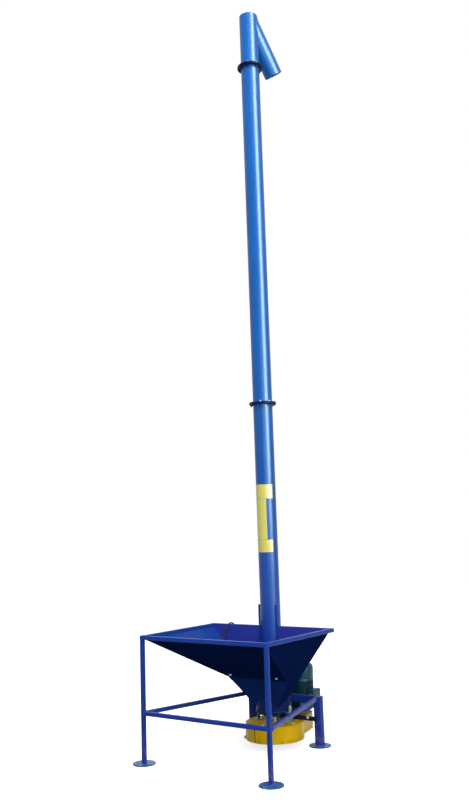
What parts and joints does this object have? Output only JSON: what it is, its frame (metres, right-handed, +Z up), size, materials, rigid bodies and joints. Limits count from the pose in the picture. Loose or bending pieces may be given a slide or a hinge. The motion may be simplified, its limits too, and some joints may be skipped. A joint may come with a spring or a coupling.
{
  "type": "grain auger",
  "caption": "Tall vertical screw conveyor: square hopper on legs feeds a flanged blue tube that lifts grain to a tilted spout; a guarded V-belt and upright motor drive it from below",
  "frame": {"origin": "on the floor, under the centre of the whole machine's bounding box", "axes": "+Z up along the auger tube; X along the hopper's front edge; +Y from the hopper's front to the motor"},
  "size_m": [1.125, 1.3076, 5.378],
  "materials": {
    "frame_paint": "glossy blue enamel",
    "sheet_paint": "blue enamel on folded sheet",
    "flange_paint": "dark blue enamel",
    "guard_paint": "safety yellow enamel",
    "motor_paint": "teal hammered enamel",
    "cast_paint": "painted casting",
    "cast_iron": "machined casting",
    "bearing_steel": "ground",
    "shaft_steel": "worn bare steel",
    "strap_zinc": "dull zinc plate",
    "belt_rubber": "matt",
    "cable_rubber": "matt",
    "fan_plastic": "moulded",
    "plug_plastic": "moulded"
  },
  "bodies": {
    "frame": {"leg_front_left": "frame_paint", "leg_front_right": "frame_paint", "leg_rear_left": "frame_paint", "leg_rear_right": "frame_paint", "foot_front_left": "frame_paint", "foot_front_right": "frame_paint", "foot_rear_left": "frame_paint", "foot_rear_right": "frame_paint", "brace_front": "frame_paint", "brace_left": "frame_paint", "brace_right": "frame_paint", "rear_crossbar": "frame_paint", "rim_front": "frame_paint", "rim_left": "frame_paint", "rim_right": "frame_paint", "rim_back_left": "frame_paint", "rim_back_right": "frame_paint", "hopper_front_sheet": "sheet_paint", "hopper_left_sheet": "sheet_paint", "hopper_right_sheet": "sheet_paint", "hopper_back_sheet_left": "sheet_paint", "hopper_back_sheet_right": "sheet_paint", "lower_funnel": "sheet_paint", "boot": "frame_paint", "boot_floor": "frame_paint", "lower_bearing_housing": "cast_paint", "lower_bearing": "bearing_steel", "lower_tube": "frame_paint", "lower_tube_top_flange": "flange_paint", "upper_tube_foot_flange": "flange_paint", "upper_tube": "frame_paint", "upper_tube_top_flange": "flange_paint", "head_foot_flange": "flange_paint", "head_tube": "frame_paint", "discharge_spout": "frame_paint", "head_cap": "flange_paint", "upper_bearing": "bearing_steel", "tube_tie_bar_left": "frame_paint", "tube_tie_bar_right": "frame_paint", "motor_bracket": "frame_paint", "motor_housing": "motor_paint", "motor_end_shield": "motor_paint", "motor_stator": "shaft_steel", "fan_cover": "motor_paint", "terminal_box": "motor_paint", "v_belt": "belt_rubber", "guard_top": "guard_paint", "guard_skirt": "guard_paint", "guard_hanger_bar": "flange_paint", "guard_strap_left": "strap_zinc", "guard_strap_right": "strap_zinc", "supply_cable": "cable_rubber", "supply_plug": "plug_plastic"},
    "auger": {"auger_shaft": "shaft_steel", "auger_flighting": "shaft_steel", "auger_pulley": "cast_iron"},
    "motor_rotor": {"motor_rotor": "shaft_steel", "motor_fan": "fan_plastic", "motor_pulley": "cast_iron"}
  },
  "joints": [
    {"name": "auger_spin", "type": "hinge", "parent": "frame", "child": "auger", "pos_m": [0, 0.20875, 0.105], "axis": [0, 0, 1], "continuous": true},
    {"name": "motor_spin", "type": "hinge", "parent": "frame", "child": "motor_rotor", "pos_m": [0, 0.54875, 0.105], "axis": [0, 0, 1], "continuous": true}
  ],
  "couplings": [
    {"joint": "motor_spin", "follows": "auger_spin", "ratio": 2.8}
  ]
}
